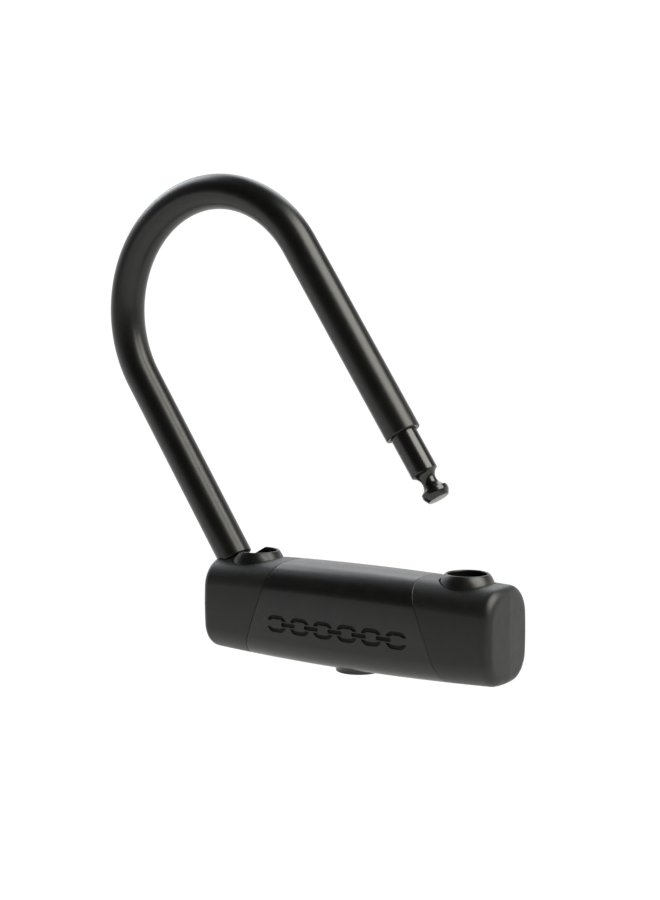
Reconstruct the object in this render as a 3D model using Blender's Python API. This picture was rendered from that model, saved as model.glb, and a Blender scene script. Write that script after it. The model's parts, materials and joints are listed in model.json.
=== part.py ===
"""A bicycle U lock, modelled open: the shackle is hinged in the left end of the
crossbar and leans outboard, with its free foot clear of the right socket.

Metres, +Z up. The origin is the middle of the crossbar, on the line that the
hinge pins and the lock bolt share. +X runs along the crossbar towards the
locking socket, -Y is the front, +Z points out of the sockets.
"""
import math

import bmesh
import bpy
from mathutils import Matrix, Vector

MM = 0.001
GAP = 0.3 * MM                      # clearance kept between neighbouring solids

# --- Shackle ---------------------------------------------------------------
LEG_SPACING = 117.94 * MM
LEG_X = LEG_SPACING / 2
BEND_HEIGHT = 129.0 * MM            # bend centre above the hinge line, closed
OPEN_TILT = math.radians(34.03)     # lean of the open shackle
STEEL_RADIUS = 6.4 * MM
COAT_RADIUS = 8.5 * MM
SHOULDER = 25.0 * MM                # end of the coating above the hinge line
NECK_RADIUS = 3.5 * MM              # waist of each foot, at the hinge line
NECK_ARC = 4.94 * MM                # radius of the waist's groove
HEAD_LOW = -9.0 * MM
BEND_STEPS = 26
ROD_SIDES = 20

# --- Crossbar shells -------------------------------------------------------
BAR_HALF_LENGTH = 80.5 * MM
BAR_HALF_WIDTH = 19.9 * MM
BAR_TOP = 23.3 * MM
BAR_BOTTOM = -23.8 * MM
CROWN_WIDTH = 2.0 * MM              # how much the section narrows at the ends
CROWN_TOP = 1.74 * MM
CROWN_BOTTOM = 1.85 * MM
TOP_CORNER = 13.1 * MM
BOTTOM_CORNER = 12.1 * MM
END_FILLET = 4.1 * MM
END_RIDGE = 0.5 * MM
FLAT_HALF_LENGTH = 12.0 * MM        # flat middle facet of the crowned faces
SEAM_X = 47.0 * MM                  # seam planes at the hinge line's height
SEAM_SLOPE = 0.38                   # they lean inboard towards the top

# --- Tube inside the shells ------------------------------------------------
TUBE_HALF_LENGTH = 77.0 * MM
TUBE_HALF_WIDTH = 16.0 * MM
TUBE_TOP = 18.8 * MM
TUBE_BOTTOM = -19.6 * MM
TUBE_CORNER = 9.0 * MM
TUBE_WALL = 4.0 * MM
PLUG_LENGTH = 5.0 * MM
PLUG_PIN_RADIUS = 2.0 * MM
PLUG_PIN_Z = -9.0 * MM

# --- Sockets ---------------------------------------------------------------
SOCKET_RADIUS = 9.5 * MM
RIM_HEIGHT = 26.0 * MM
RIM_RADIUS = 10.8 * MM
FLANGE_RADIUS = 12.8 * MM
FLANGE_HEIGHT = 20.0 * MM
COLLAR_RADIUS = 11.2 * MM
COLLAR_LOW = 12.0 * MM
LEG_CLEARANCE = 0.4 * MM            # round the leaning leg
POCKET_CLEARANCE = 0.7 * MM         # under the coating's shoulder in the end cap
COLLAR_CUT = 23.0 * MM              # the slotted collar stops here along the leaning leg

# --- Hinge and lock --------------------------------------------------------
HINGE_PIN_RADIUS = 1.6 * MM
HINGE_PIN_Y = 5.9 * MM
BOLT_RADIUS = 4.3 * MM
BOLT_TIP = 50.7 * MM
BOLT_TAIL = 1.9 * MM
BOLT_TRAVEL = 4.5 * MM
PEG_RADIUS = 1.2 * MM
PEG_START = 4.9 * MM                # peg's distance from the key axis, unlocked
CAM_RADIUS = 11.6 * MM
CAM_LOW = -7.5 * MM
CAM_HIGH = -4.7 * MM
CAM_SLOT = 1.5 * MM                 # half width of the cam's scroll slot
TANG_HALF = 1.3 * MM
HOUSING_RADIUS = 10.5 * MM
HOUSING_BORE = 7.3 * MM
CARRIER_RADIUS = 7.0 * MM
CARRIER_BORE = 5.6 * MM
CARRIER_LOW = -19.3 * MM
CARRIER_FLOOR = -9.8 * MM
DISC_COUNT = 7
DISC_RADIUS = 5.3 * MM
DISC_THICK = 1.0 * MM
DISC_PITCH = 1.3 * MM
KEYWAY = (2.5 * MM, 1.2 * MM)       # half sizes of the keyway
BOSS_RADIUS = 10.9 * MM
BOSS_LOW = -25.8 * MM
BOSS_HOLE = 8.5 * MM


# --- Scene and mesh helpers ------------------------------------------------
def clear_scene():
    for obj in list(bpy.data.objects):
        bpy.data.objects.remove(obj, do_unlink=True)


def material(name, color, roughness, metallic=0.0):
    mat = bpy.data.materials.get(name)
    if mat is None:
        mat = bpy.data.materials.new(name)
        mat.use_nodes = True
        shader = mat.node_tree.nodes["Principled BSDF"]
        shader.inputs["Base Color"].default_value = (*color, 1.0)
        shader.inputs["Roughness"].default_value = roughness
        shader.inputs["Metallic"].default_value = metallic
    return mat


def black_plastic():
    return material("black_plastic", (0.035, 0.035, 0.034), 0.5)


def soft_coating():
    return material("soft_coating", (0.02, 0.02, 0.02), 0.38)


def black_steel():
    return material("black_steel", (0.03, 0.03, 0.03), 0.25, 0.8)


def bare_steel():
    return material("bare_steel", (0.5, 0.5, 0.5), 0.35, 1.0)


def lock_brass():
    return material("lock_brass", (0.72, 0.52, 0.22), 0.35, 1.0)


def bumper_rubber():
    return material("bumper_rubber", (0.02, 0.02, 0.02), 0.8)


def make_object(name, bm, mat=None, parent=None):
    """Turn a bmesh into a named object with its faces pointing out."""
    bmesh.ops.recalc_face_normals(bm, faces=bm.faces[:])
    mesh = bpy.data.meshes.new(name)
    bm.to_mesh(mesh)
    bm.free()
    mesh.shade_smooth()
    mesh.set_sharp_from_angle(angle=math.radians(35))
    obj = bpy.data.objects.new(name, mesh)
    bpy.context.scene.collection.objects.link(obj)
    if mat:
        mesh.materials.append(mat)
    obj.parent = parent
    return obj


def make_cutter(name, bm, parent=None):
    obj = make_object(name, bm, parent=parent)
    obj.hide_render = True
    obj.display_type = "WIRE"
    return obj


def combine(obj, other, operation="DIFFERENCE"):
    mod = obj.modifiers.new(other.name, "BOOLEAN")
    mod.operation = operation
    mod.solver = "EXACT"
    mod.object = other
    return obj


def pivot(name, location, tilt=0.0):
    """An empty on a joint's axis, turned about Y."""
    empty = bpy.data.objects.new(name, None)
    bpy.context.scene.collection.objects.link(empty)
    empty.location = location
    empty.rotation_euler = (0.0, tilt, 0.0)
    return empty


def loft(rings, closed=False):
    """Skin a row of matching rings: closed joins the last ring to the first,
    otherwise the two end rings are capped."""
    bm = bmesh.new()
    rows = [[bm.verts.new(point) for point in ring] for ring in rings]
    pairs = list(zip(rows, rows[1:]))
    if closed:
        pairs.append((rows[-1], rows[0]))
    for low, high in pairs:
        count = len(low)
        for i in range(count):
            j = (i + 1) % count
            bm.faces.new((low[i], low[j], high[j], high[i]))
    if not closed:
        bm.faces.new(rows[0])
        bm.faces.new(rows[-1])
    return bm


def angles(sides):
    """Angles round a circle, half a step off the axes so that cuts don't share corners."""
    return [math.tau * (k + 0.5) / sides for k in range(sides)]


def turned(profile, sides=32, closed=False, center=(0.0, 0.0)):
    """Turn (radius, z) points about a vertical axis; a closed profile makes a ring."""
    rings = []
    for radius, z in profile:
        rings.append([Vector((center[0] + radius * math.cos(angle),
                              center[1] + radius * math.sin(angle), z))
                      for angle in angles(sides)])
    return loft(rings, closed)


def rod(radius, start, end, sides=20):
    """A straight round rod between two points."""
    start, end = Vector(start), Vector(end)
    turn = (end - start).to_track_quat("Z", "Y").to_matrix()
    rings = []
    for point in (start, end):
        rings.append([point + turn @ Vector((radius * math.cos(angle),
                                             radius * math.sin(angle), 0.0))
                      for angle in angles(sides)])
    return loft(rings)


def block(low, high):
    bm = bmesh.new()
    bmesh.ops.create_cube(bm, size=1.0)
    middle = [(a + b) / 2 for a, b in zip(low, high)]
    size = [b - a for a, b in zip(low, high)]
    bmesh.ops.transform(bm, matrix=Matrix.LocRotScale(middle, None, size), verts=bm.verts[:])
    return bm


def prism(outline, low, high, place):
    """Extrude a flat outline from low to high; place(u, v, w) puts a point in space."""
    rings = [[Vector(place(u, v, w)) for u, v in outline] for w in (low, high)]
    return loft(rings)


def rounded_section(half_width, low, high, low_corner, high_corner, steps=5, middle=False):
    """(y, z) points round a section; middle adds a point halfway along top and bottom."""
    points = [(0.0, high)] if middle else []
    corners = ((1, high, high_corner, 90, 0), (1, low, low_corner, 0, -90))
    for side, edge, corner, first, last in corners:
        center_y = side * (half_width - corner)
        center_z = edge - math.copysign(corner, last + first)
        for k in range(steps + 1):
            angle = math.radians(first + (last - first) * k / steps)
            points.append((center_y + corner * math.cos(angle),
                           center_z + corner * math.sin(angle)))
    mirrored = [(-y, z) for y, z in reversed(points) if y > 0.0]
    return points + ([(0.0, low)] if middle else []) + mirrored


# --- Crossbar shells -------------------------------------------------------
def bar_ring(x):
    """The outer section at one place along the bar, crowned and with filleted ends."""
    share = (x / BAR_HALF_LENGTH) ** 2
    beyond = max(0.0, abs(x) - (BAR_HALF_LENGTH - END_FILLET))
    inset = END_FILLET - math.sqrt(max(END_FILLET ** 2 - beyond ** 2, 0.0))
    half_width = BAR_HALF_WIDTH - CROWN_WIDTH * share - inset
    section = rounded_section(half_width,
                              BAR_BOTTOM + CROWN_BOTTOM * share + inset,
                              BAR_TOP - CROWN_TOP * share - inset,
                              BOTTOM_CORNER - 0.6 * inset, TOP_CORNER - 0.6 * inset,
                              middle=True)
    ridge = END_RIDGE if beyond > 0.0 else 0.0
    return [Vector((x + math.copysign(ridge * (1 - abs(y) / half_width), x), y, z))
            for y, z in section]


def bar_body():
    """The whole outside of the crossbar; each end is two faces that meet in a ridge."""
    half = [FLAT_HALF_LENGTH + (BAR_HALF_LENGTH - END_FILLET - FLAT_HALF_LENGTH) * k / 4
            for k in range(5)]
    half += [BAR_HALF_LENGTH - END_FILLET * (1 - math.sin(math.radians(a)))
             for a in (30, 60, 90)]
    stations = [-x for x in reversed(half)] + half
    rings = [bar_ring(x) for x in stations]
    bm = bmesh.new()
    rows = [[bm.verts.new(point) for point in ring] for ring in rings]
    count = len(rows[0])
    for low, high in zip(rows, rows[1:]):
        for i in range(count):
            j = (i + 1) % count
            bm.faces.new((low[i], low[j], high[j], high[i]))
    for row in (rows[0], rows[-1]):
        middle = count // 2
        bm.faces.new(row[:middle + 1])
        bm.faces.new(row[middle:] + row[:1])
    return bm


def seam_at(z, shift):
    return SEAM_X + shift - SEAM_SLOPE * z


def seam_cutters():
    """Leaning-sided regions that part the outside into a sleeve and two end caps."""
    reach, tall, wide = 100 * MM, 40 * MM, 30 * MM
    swap = lambda u, v, w: (u, w, v)
    inner = [(-seam_at(tall, -GAP / 2), tall), (seam_at(tall, -GAP / 2), tall),
             (seam_at(-tall, -GAP / 2), -tall), (-seam_at(-tall, -GAP / 2), -tall)]
    right = [(seam_at(tall, GAP / 2), tall), (reach, tall),
             (reach, -tall), (seam_at(-tall, GAP / 2), -tall)]
    left = [(-x, z) for x, z in right]
    return (make_cutter("sleeve_region", prism(inner, -wide, wide, swap)),
            make_cutter("left_region", prism(left, -wide, wide, swap)),
            make_cutter("right_region", prism(right, -wide, wide, swap)))


def tube_outline(growth):
    return rounded_section(TUBE_HALF_WIDTH + growth, TUBE_BOTTOM - growth, TUBE_TOP + growth,
                           TUBE_CORNER + growth, TUBE_CORNER + growth, steps=4)


def along_x(u, v, w):
    return (w, u, v)


def tube_pocket(name, low, high):
    return make_cutter(name, prism(tube_outline(GAP), low, high, along_x))


def beside_leg(along, below):
    """(x, z) of a point placed along the open leg, and square to it on its lower side."""
    sine, cosine = math.sin(OPEN_TILT), math.cos(OPEN_TILT)
    return (-LEG_X - along * sine - below * cosine, along * cosine - below * sine)


def across(u, v, w):
    return (u, w, v)


def stem_slot():
    """The slot that the steel stem swings through, down to the open leg's lower side."""
    side = STEEL_RADIUS + LEG_CLEARANCE
    start, end = beside_leg(0.0, side), beside_leg(60 * MM, side)
    sky = end[1] + 5 * MM
    outline = [(-LEG_X, sky), (-LEG_X, start[1]), start, end, (end[0], sky)]
    return make_cutter("stem_slot", prism(outline, -side, side, across))


def shoulder_pocket(name, start, half_width):
    """Everything past a plane square to the open leg, where its thick coating begins."""
    reach = 45 * MM
    outline = [beside_leg(start, -reach), beside_leg(start, reach),
               beside_leg(start + reach, reach), beside_leg(start + reach, -reach)]
    return make_cutter(name, prism(outline, -half_width, half_width, across))


def upright_hole(name, radius, x, low, high, sides=32):
    return make_cutter(name, turned([(radius, low), (radius, high)], sides, center=(x, 0.0)))


def center_sleeve(region):
    obj = make_object("center_sleeve", bar_body(), black_plastic())
    combine(obj, region, "INTERSECT")
    boss = turned([(BOSS_RADIUS + 2.4 * MM, BAR_BOTTOM + 1.5 * MM),
                   (BOSS_RADIUS + 2.2 * MM, BAR_BOTTOM - 0.1 * MM),
                   (BOSS_RADIUS + 0.6 * MM, BAR_BOTTOM - 0.5 * MM),
                   (BOSS_RADIUS, BAR_BOTTOM - 1.1 * MM),
                   (BOSS_RADIUS - 0.2 * MM, BOSS_LOW + 0.4 * MM),
                   (BOSS_RADIUS - 0.7 * MM, BOSS_LOW)], 36)
    combine(obj, make_cutter("keyway_boss", boss), "UNION")
    combine(obj, tube_pocket("sleeve_pocket", -60 * MM, 60 * MM))
    combine(obj, upright_hole("boss_hole", BOSS_HOLE, 0.0, BOSS_LOW - 2 * MM, -15 * MM))
    return obj


def end_cap(name, side, region, leg_cuts=()):
    obj = make_object(name, bar_body(), black_plastic())
    combine(obj, region, "INTERSECT")
    inner, outer = side * 30 * MM, side * (TUBE_HALF_LENGTH + GAP)
    combine(obj, tube_pocket(name + "_pocket", min(inner, outer), max(inner, outer)))
    combine(obj, upright_hole(name + "_hole", FLANGE_RADIUS + GAP, side * LEG_X,
                              TUBE_TOP - 8 * MM, RIM_HEIGHT + 5 * MM))
    for cut in leg_cuts:
        combine(obj, cut)
    return obj


# --- Tube, plugs and sockets -----------------------------------------------
def inner_block(name, low, high, mat):
    """A solid that fills the tube's bore between two places along it."""
    outline = rounded_section(TUBE_HALF_WIDTH - TUBE_WALL - GAP, TUBE_BOTTOM + TUBE_WALL + GAP,
                              TUBE_TOP - TUBE_WALL - GAP, TUBE_CORNER - TUBE_WALL - GAP,
                              TUBE_CORNER - TUBE_WALL - GAP, steps=4)
    return make_object(name, prism(outline, low, high, along_x), mat)


def cross_hole(name, radius, x, z):
    reach = TUBE_HALF_WIDTH + 5 * MM
    return make_cutter(name, rod(radius, (x, -reach, z), (x, reach, z), 16))


def cross_pin(name, x, z):
    reach = TUBE_HALF_WIDTH - GAP
    return make_object(name, rod(PLUG_PIN_RADIUS, (x, -reach, z), (x, reach, z), 16), bare_steel())


def crossbar_tube(leg_cuts, pin_holes):
    outline = tube_outline(0.0)
    obj = make_object("crossbar_tube",
                      prism(outline, -TUBE_HALF_LENGTH, TUBE_HALF_LENGTH, along_x), bare_steel())
    bore = rounded_section(TUBE_HALF_WIDTH - TUBE_WALL, TUBE_BOTTOM + TUBE_WALL,
                           TUBE_TOP - TUBE_WALL, TUBE_CORNER - TUBE_WALL,
                           TUBE_CORNER - TUBE_WALL, steps=4)
    combine(obj, make_cutter("tube_bore", prism(bore, -90 * MM, 90 * MM, along_x)))
    for side in (-1, 1):
        combine(obj, upright_hole("socket_hole", COLLAR_RADIUS + GAP, side * LEG_X,
                                  COLLAR_LOW - GAP, TUBE_TOP + 5 * MM))
    combine(obj, upright_hole("housing_hole", HOUSING_RADIUS + GAP, 0.0, -30 * MM, -5 * MM))
    for x in (-HOUSING_SCREW_X, HOUSING_SCREW_X):
        combine(obj, upright_hole("screw_hole", HOUSING_SCREW_RADIUS + GAP, x,
                                  -30 * MM, -12 * MM, 16))
    for cut in leg_cuts:
        combine(obj, cut)
    for hole in pin_holes:
        combine(obj, hole)
    return obj


def socket_collar(name, side, leg_cuts=()):
    profile = [(SOCKET_RADIUS, COLLAR_LOW), (COLLAR_RADIUS, COLLAR_LOW),
               (COLLAR_RADIUS, TUBE_TOP + GAP), (FLANGE_RADIUS, TUBE_TOP + GAP),
               (FLANGE_RADIUS, FLANGE_HEIGHT), (RIM_RADIUS, RIM_HEIGHT - 0.4 * MM),
               (RIM_RADIUS - 0.4 * MM, RIM_HEIGHT), (SOCKET_RADIUS + 0.3 * MM, RIM_HEIGHT),
               (SOCKET_RADIUS, RIM_HEIGHT - 0.4 * MM)]
    obj = make_object(name, turned(profile, 40, closed=True, center=(side * LEG_X, 0.0)),
                      black_steel())
    for cut in leg_cuts:
        combine(obj, cut)
    return obj


def end_plug(name, side, cutters):
    ends = sorted((side * TUBE_HALF_LENGTH, side * (TUBE_HALF_LENGTH - PLUG_LENGTH)))
    obj = inner_block(name, ends[0], ends[1], bare_steel())
    for cutter in cutters:
        combine(obj, cutter)
    return obj


# --- Hinge -----------------------------------------------------------------
HINGE_BLOCK = (-47.7 * MM, -41.5 * MM)
HINGE_PIN_ENDS = (-76.7 * MM, -42.0 * MM)


def hinge_pin_hole(name, y):
    return make_cutter(name, rod(HINGE_PIN_RADIUS + GAP, (-90 * MM, y, 0.0), (-30 * MM, y, 0.0), 16))


def hinge_pin(name, y):
    ends = [(x, y, 0.0) for x in HINGE_PIN_ENDS]
    return make_object(name, rod(HINGE_PIN_RADIUS, ends[0], ends[1], 16), bare_steel())


def hinge_block(holes, pin_hole):
    obj = inner_block("hinge_block", HINGE_BLOCK[0], HINGE_BLOCK[1], bare_steel())
    for hole in holes:
        combine(obj, hole)
    combine(obj, pin_hole)
    return obj


def foot_bumper():
    top = HEAD_LOW - 0.5 * MM
    low = TUBE_BOTTOM + TUBE_WALL + GAP
    profile = [(7.0 * MM, low), (8.0 * MM, low + 1 * MM), (8.0 * MM, top - 1 * MM), (7.2 * MM, top)]
    return make_object("foot_bumper", turned(profile, 28, center=(LEG_X, 0.0)), bumper_rubber())


# --- Shackle ---------------------------------------------------------------
def foot_profile():
    """(height, radius) of a foot, from the flat of its head up to the stem."""
    points = [(HEAD_LOW, 5.0 * MM), (HEAD_LOW + 1.0 * MM, 5.6 * MM),
              (HEAD_LOW + 2.0 * MM, 6.15 * MM), (HEAD_LOW + 2.7 * MM, STEEL_RADIUS),
              (HEAD_LOW + 4.2 * MM, STEEL_RADIUS)]
    groove_center = NECK_RADIUS + NECK_ARC
    limit = math.acos((groove_center - STEEL_RADIUS) / NECK_ARC)
    for k in range(9):
        angle = limit * (k / 4 - 1)
        points.append((NECK_ARC * math.sin(angle), groove_center - NECK_ARC * math.cos(angle)))
    points.append((SHOULDER - 1 * MM, STEEL_RADIUS))
    return points


def rod_ring(center, outward, radius):
    return [center + radius * (math.cos(math.tau * k / ROD_SIDES) * outward
                               + math.sin(math.tau * k / ROD_SIDES) * Vector((0, 1, 0)))
            for k in range(ROD_SIDES)]


def u_rings(leg_profile, bend_radius):
    """Rings up the left leg, round the bend and down the right leg. The left
    leg stands on this frame's Z axis, as when the lock is closed."""
    left, right = Vector((-1, 0, 0)), Vector((1, 0, 0))
    rings = [rod_ring(Vector((0, 0, z)), left, radius) for z, radius in leg_profile]
    for k in range(BEND_STEPS + 1):
        angle = math.pi * k / BEND_STEPS
        outward = Vector((-math.cos(angle), 0, math.sin(angle)))
        center = Vector((LEG_X, 0, BEND_HEIGHT)) + LEG_X * outward
        rings.append(rod_ring(center, outward, bend_radius))
    rings += [rod_ring(Vector((LEG_SPACING, 0, z)), right, radius)
              for z, radius in reversed(leg_profile)]
    return rings


def shackle_core(parent):
    return make_object("shackle_core", loft(u_rings(foot_profile(), STEEL_RADIUS)),
                       black_steel(), parent)


def shackle_sleeve(parent):
    """The coating: a bent tube whose open ends have a small rounded lip."""
    outer = [(SHOULDER, COAT_RADIUS - 0.5 * MM), (SHOULDER + 0.2 * MM, COAT_RADIUS - 0.15 * MM),
             (SHOULDER + 0.6 * MM, COAT_RADIUS)]
    inner = [(SHOULDER + 0.5 * MM, STEEL_RADIUS + GAP), (SHOULDER, STEEL_RADIUS + 0.8 * MM)]
    rings = u_rings(outer, COAT_RADIUS)
    rings += reversed(u_rings(list(reversed(inner)), STEEL_RADIUS + GAP))
    return make_object("shackle_sleeve", loft(rings, closed=True), soft_coating(), parent)


# --- Bolt ------------------------------------------------------------------
GUIDE = (18.5 * MM, 47.5 * MM)
GUIDE_PIN_X = (25.0 * MM, 40.0 * MM)


def lock_bolt(parent):
    """A round bolt along +X with a domed tip that fills the free foot's neck."""
    dome = [(BOLT_TIP - BOLT_RADIUS * (1 - math.sin(math.radians(a))),
             BOLT_RADIUS * math.cos(math.radians(a))) for a in (0, 22.5, 45, 65, 82)]
    profile = [(BOLT_TAIL, BOLT_RADIUS - 0.5 * MM), (BOLT_TAIL + 0.5 * MM, BOLT_RADIUS)] + dome
    rings = [[Vector((x, r * math.cos(math.tau * k / 24), r * math.sin(math.tau * k / 24)))
              for k in range(24)] for x, r in profile]
    obj = make_object("lock_bolt", loft(rings), bare_steel(), parent)
    hole = turned([(PEG_RADIUS + GAP, -8 * MM), (PEG_RADIUS + GAP, 1.5 * MM)], 16,
                  center=(PEG_START, 0.0))
    combine(obj, make_cutter("peg_hole", hole, parent))
    return obj


def bolt_peg(parent):
    peg = turned([(PEG_RADIUS, CAM_LOW + 0.3 * MM), (PEG_RADIUS, 1.2 * MM)], 16,
                 center=(PEG_START, 0.0))
    return make_object("bolt_peg", peg, bare_steel(), parent)


def bolt_guide(pin_holes):
    obj = inner_block("bolt_guide", GUIDE[0], GUIDE[1], bare_steel())
    combine(obj, make_cutter("guide_bore", rod(BOLT_RADIUS + GAP, (5 * MM, 0, 0), (60 * MM, 0, 0), 24)))
    for hole in pin_holes:
        combine(obj, hole)
    return obj


def drive_cam(parent):
    """A disc with a scroll slot: a quarter turn carries the peg BOLT_TRAVEL outward."""
    obj = make_object("drive_cam", turned([(CAM_RADIUS, CAM_LOW), (CAM_RADIUS, CAM_HIGH)], 40),
                      bare_steel(), parent)
    steps = 12
    outer, inner = [], []
    for k in range(steps + 1):
        angle = -math.pi / 2 * k / steps
        radius = PEG_START + BOLT_TRAVEL * k / steps
        point = Vector((radius * math.cos(angle), radius * math.sin(angle)))
        slope = Vector((-math.sin(angle), math.cos(angle))) * radius
        growth = -BOLT_TRAVEL / (math.pi / 2) * Vector((math.cos(angle), math.sin(angle)))
        along = (slope + growth).normalized()
        side = Vector((along.y, -along.x))
        outer.append(point + CAM_SLOT * side)
        inner.append(point - CAM_SLOT * side)
        if k == 0:
            first = (point, along)
    last = (point, -along)

    def round_end(center, along, turn):
        side = Vector((along.y, -along.x))
        return [center + CAM_SLOT * (turn * math.cos(a) * side + math.sin(a) * along)
                for a in (math.pi * k / 6 for k in range(1, 6))]

    outline = outer + round_end(last[0], last[1], -1) + list(reversed(inner)) \
        + round_end(first[0], first[1], -1)
    slot = prism([(p.x, p.y) for p in outline], CAM_LOW - 1 * MM, CAM_HIGH + 1 * MM,
                 lambda u, v, w: (u, v, w))
    combine(obj, make_cutter("scroll_slot", slot, parent))
    hole = TANG_HALF + GAP
    combine(obj, make_cutter("tang_hole", block((-hole, -hole, -9 * MM), (hole, hole, 0)), parent))
    return obj


# --- Key cylinder ----------------------------------------------------------
HOUSING_LOW = -18.9 * MM            # above the tube's rounded lower corners
HOUSING_TOP = -8.3 * MM
HOUSING_SCREW_X = 14.0 * MM
HOUSING_SCREW_RADIUS = 1.5 * MM
FLANGE_TOP = -13.3 * MM
SIDEBAR_HALF = 0.6 * MM


def cylinder_housing(screw_holes):
    """A thick barrel with a flange that lies on the tube's floor."""
    obj = make_object("cylinder_housing",
                      turned([(HOUSING_RADIUS, HOUSING_LOW), (HOUSING_RADIUS, HOUSING_TOP)], 32),
                      lock_brass())
    floor = TUBE_BOTTOM + TUBE_WALL + GAP
    plate = block((-17.5 * MM, -6.5 * MM, floor), (17.5 * MM, 6.5 * MM, FLANGE_TOP))
    combine(obj, make_cutter("housing_flange", plate), "UNION")
    combine(obj, upright_hole("housing_bore", HOUSING_BORE, 0.0, -30 * MM, 0.0))
    for hole in screw_holes:
        combine(obj, hole)
    return obj


def housing_screw(name, x):
    low = TUBE_BOTTOM + 0.1 * MM
    profile = [(HOUSING_SCREW_RADIUS, low), (HOUSING_SCREW_RADIUS, FLANGE_TOP - 0.2 * MM)]
    return make_object(name, turned(profile, 16, center=(x, 0.0)), bare_steel())


def disc_carrier(parent):
    """The turning barrel, open at the keyway, with a square tang into the cam."""
    top = HOUSING_TOP - GAP
    obj = make_object("disc_carrier",
                      turned([(CARRIER_RADIUS, CARRIER_LOW), (CARRIER_RADIUS, top)], 24),
                      lock_brass(), parent)
    tang = block((-TANG_HALF, -TANG_HALF, top - 0.5 * MM),
                 (TANG_HALF, TANG_HALF, CAM_HIGH - 0.1 * MM))
    combine(obj, make_cutter("carrier_tang", tang, parent), "UNION")
    bore = turned([(CARRIER_BORE, CARRIER_LOW - 2 * MM), (CARRIER_BORE, CARRIER_FLOOR)], 24)
    combine(obj, make_cutter("carrier_bore", bore, parent))
    half = SIDEBAR_HALF + GAP
    slot = block((-half, 3 * MM, CARRIER_LOW + 0.5 * MM), (half, 9 * MM, CARRIER_FLOOR - 0.3 * MM))
    combine(obj, make_cutter("sidebar_slot", slot, parent))
    return obj


def lock_disc(name, index, parent):
    """A thin disc with the keyway through it and a gate for the sidebar on its rim."""
    low = CARRIER_LOW + 0.4 * MM + index * DISC_PITCH
    high = low + DISC_THICK
    obj = make_object(name, turned([(DISC_RADIUS, low), (DISC_RADIUS, high)], 20),
                      lock_brass(), parent)
    keyway = block((-KEYWAY[0], -KEYWAY[1], low - 1 * MM), (KEYWAY[0], KEYWAY[1], high + 1 * MM))
    combine(obj, make_cutter(name + "_keyway", keyway, parent))
    half = SIDEBAR_HALF + GAP
    gate = block((-half, 4.3 * MM, low - 1 * MM), (half, 8 * MM, high + 1 * MM))
    combine(obj, make_cutter(name + "_gate", gate, parent))
    return obj


def sidebar(parent):
    bar = block((-SIDEBAR_HALF, 4.8 * MM, CARRIER_LOW + 0.9 * MM),
                (SIDEBAR_HALF, 6.7 * MM, CARRIER_FLOOR - 0.7 * MM))
    return make_object("sidebar", bar, bare_steel(), parent)


def keyway_plate(name, radius, low, high, keyway, mat, parent=None):
    obj = make_object(name, turned([(radius - 0.2 * MM, low), (radius, low + 0.2 * MM),
                                    (radius, high)], 32), mat, parent)
    hole = block((-keyway[0], -keyway[1], low - 1 * MM), (keyway[0], keyway[1], high + 1 * MM))
    combine(obj, make_cutter(name + "_keyway", hole, parent))
    return obj


def guard_ring():
    """A steel ring set in the boss round the keyway's cover."""
    profile = [(6.4 * MM, -25.3 * MM), (6.4 * MM, -20.2 * MM), (BOSS_HOLE - GAP, -20.2 * MM),
               (BOSS_HOLE - GAP, -25.1 * MM), (BOSS_HOLE - 0.6 * MM, -25.3 * MM)]
    return make_object("guard_ring", turned(profile, 32, closed=True), black_steel())


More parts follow.
